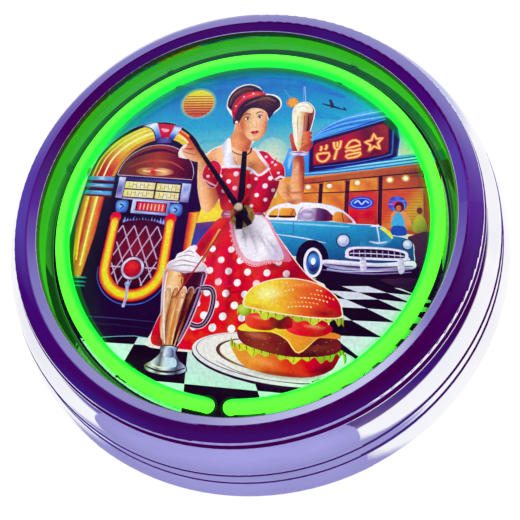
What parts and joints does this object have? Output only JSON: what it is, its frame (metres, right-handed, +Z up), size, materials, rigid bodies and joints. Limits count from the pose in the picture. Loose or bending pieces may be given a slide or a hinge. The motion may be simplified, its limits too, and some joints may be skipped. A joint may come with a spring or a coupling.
{
  "type": "neon wall clock",
  "caption": "Round wall clock with a printed pictorial dial, three hands and a glowing neon ring set behind glass in a stepped chrome case.",
  "frame": {"origin": "centre of the round top of the hanger's keyhole slot, in the plane of the wall: where the wall screw carries the clock", "axes": "+Z up, +Y from the dial into the wall along the dial's axis, +X to the right of someone facing the dial"},
  "size_m": [0.38, 0.058, 0.38],
  "materials": {
    "chrome_case": "mirror chrome plating on moulded plastic",
    "clear_glass": "clear, flat",
    "black_channel": "glossy black",
    "dial_print": "full-colour print under gloss varnish",
    "backing_board": "white sheet",
    "neon_glass": "lit glass tube, green glow",
    "clear_plastic": "clear polycarbonate",
    "black_rubber": "matt",
    "black_plastic": "fine spark texture",
    "zinc_steel": "bright zinc plate",
    "red_rocker": "moulded gloss",
    "brass": "turned, lacquered",
    "black_hand": "satin black enamel",
    "red_hand": "gloss red enamel",
    "white_gear": "natural acetal",
    "magnet": "bonded magnet on an acetal pinion",
    "bridge_plastic": "natural acetal",
    "lamination": "stamped soft iron",
    "copper_winding": "enamelled copper wire",
    "circuit_board": "green solder mask",
    "component_can": "drawn can",
    "battery_jacket": "plain printed jacket",
    "red_wire": "PVC insulation",
    "black_wire": "PVC insulation"
  },
  "bodies": {
    "clock_body": {"back_cover": "black_plastic", "battery_contact_minus": "zinc_steel", "battery_contact_plus": "zinc_steel", "channel_wall": "black_channel", "coil_bobbin": "bridge_plastic", "coil_winding": "copper_winding", "cover_screws": "zinc_steel", "dc_inlet": "black_plastic", "dc_inlet_nut": "zinc_steel", "dc_inlet_pin": "zinc_steel", "dial_backing": "backing_board", "dial_nut": "brass", "dial_screws": "zinc_steel", "dial_washer": "brass", "electrode_boots": "black_rubber", "front_bezel": "chrome_case", "front_lens": "clear_glass", "hanger_plate": "zinc_steel", "hanger_rivets": "zinc_steel", "inlet_lead": "red_wire", "link_lead": "black_wire", "movement_board": "circuit_board", "movement_cushion": "black_rubber", "movement_front_case": "black_plastic", "movement_rear_case": "black_plastic", "neon_tube": "neon_glass", "printed_dial": "dial_print", "quartz_crystal": "component_can", "stator": "lamination", "stepped_case": "chrome_case", "supply_board": "circuit_board", "supply_capacitors": "component_can", "supply_case": "black_plastic", "supply_lid": "black_plastic", "supply_screws": "zinc_steel", "switch_body": "black_plastic", "switch_lead": "red_wire", "train_bridge": "bridge_plastic", "transformer_core": "lamination", "transformer_winding": "copper_winding", "tube_clips": "clear_plastic", "tube_grommets": "black_rubber", "tube_lead_left": "red_wire", "tube_lead_right": "red_wire", "wall_bumpers": "black_rubber"},
    "hour_hand_body": {"hour_wheel": "white_gear", "hour_hand": "black_hand"},
    "minute_hand_body": {"cannon_pinion": "white_gear", "minute_hand": "black_hand"},
    "second_hand_body": {"seconds_wheel": "white_gear", "second_hand": "red_hand", "centre_cap": "brass"},
    "setting_body": {"setting_wheel": "white_gear", "setting_knob": "white_gear"},
    "centre_wheel_body": {"centre_wheel": "white_gear"},
    "third_wheel_body": {"third_wheel": "white_gear"},
    "intermediate_wheel_body": {"intermediate_wheel": "white_gear"},
    "rotor_body": {"rotor": "magnet"},
    "battery_body": {"aa_battery": "battery_jacket"},
    "switch_rocker_body": {"switch_rocker": "red_rocker"}
  },
  "joints": [
    {"name": "minute_hand_spin", "type": "hinge", "parent": "clock_body", "child": "minute_hand_body", "pos_m": [0, -0.02, -0.128], "axis": [0, 1, 0], "continuous": true},
    {"name": "hour_hand_spin", "type": "hinge", "parent": "clock_body", "child": "hour_hand_body", "pos_m": [0, -0.02, -0.128], "axis": [0, 1, 0], "continuous": true},
    {"name": "setting_knob_spin", "type": "hinge", "parent": "clock_body", "child": "setting_body", "pos_m": [0.01128, -0.02, -0.1239], "axis": [0, 1, 0], "continuous": true},
    {"name": "second_hand_spin", "type": "hinge", "parent": "clock_body", "child": "second_hand_body", "pos_m": [0, -0.02, -0.128], "axis": [0, 1, 0], "continuous": true},
    {"name": "third_wheel_spin", "type": "hinge", "parent": "clock_body", "child": "third_wheel_body", "pos_m": [-0.00891, -0.02, -0.12176], "axis": [0, 1, 0], "continuous": true},
    {"name": "centre_wheel_spin", "type": "hinge", "parent": "clock_body", "child": "centre_wheel_body", "pos_m": [0, -0.02, -0.128], "axis": [0, 1, 0], "continuous": true},
    {"name": "intermediate_wheel_spin", "type": "hinge", "parent": "clock_body", "child": "intermediate_wheel_body", "pos_m": [0.00385, -0.02, -0.12133], "axis": [0, 1, 0], "continuous": true},
    {"name": "rotor_spin", "type": "hinge", "parent": "clock_body", "child": "rotor_body", "pos_m": [0.00385, -0.02, -0.11593], "axis": [0, 1, 0], "continuous": true},
    {"name": "battery_slide", "type": "slide", "parent": "clock_body", "child": "battery_body", "axis": [0, 1, 0], "range_m": [0, 0.03]},
    {"name": "switch_rocker_tilt", "type": "hinge", "parent": "clock_body", "child": "switch_rocker_body", "pos_m": [-0.096, -0.0064, -0.212], "axis": [0, 0, 1], "range_deg": [0, 20]}
  ],
  "couplings": [
    {"joint": "hour_hand_spin", "follows": "minute_hand_spin", "ratio": 0.083333},
    {"joint": "setting_knob_spin", "follows": "minute_hand_spin", "ratio": -0.33333},
    {"joint": "third_wheel_spin", "follows": "second_hand_spin", "ratio": -0.13333},
    {"joint": "centre_wheel_spin", "follows": "second_hand_spin", "ratio": 0.016667},
    {"joint": "intermediate_wheel_spin", "follows": "second_hand_spin", "ratio": -6},
    {"joint": "rotor_spin", "follows": "second_hand_spin", "ratio": 30}
  ]
}
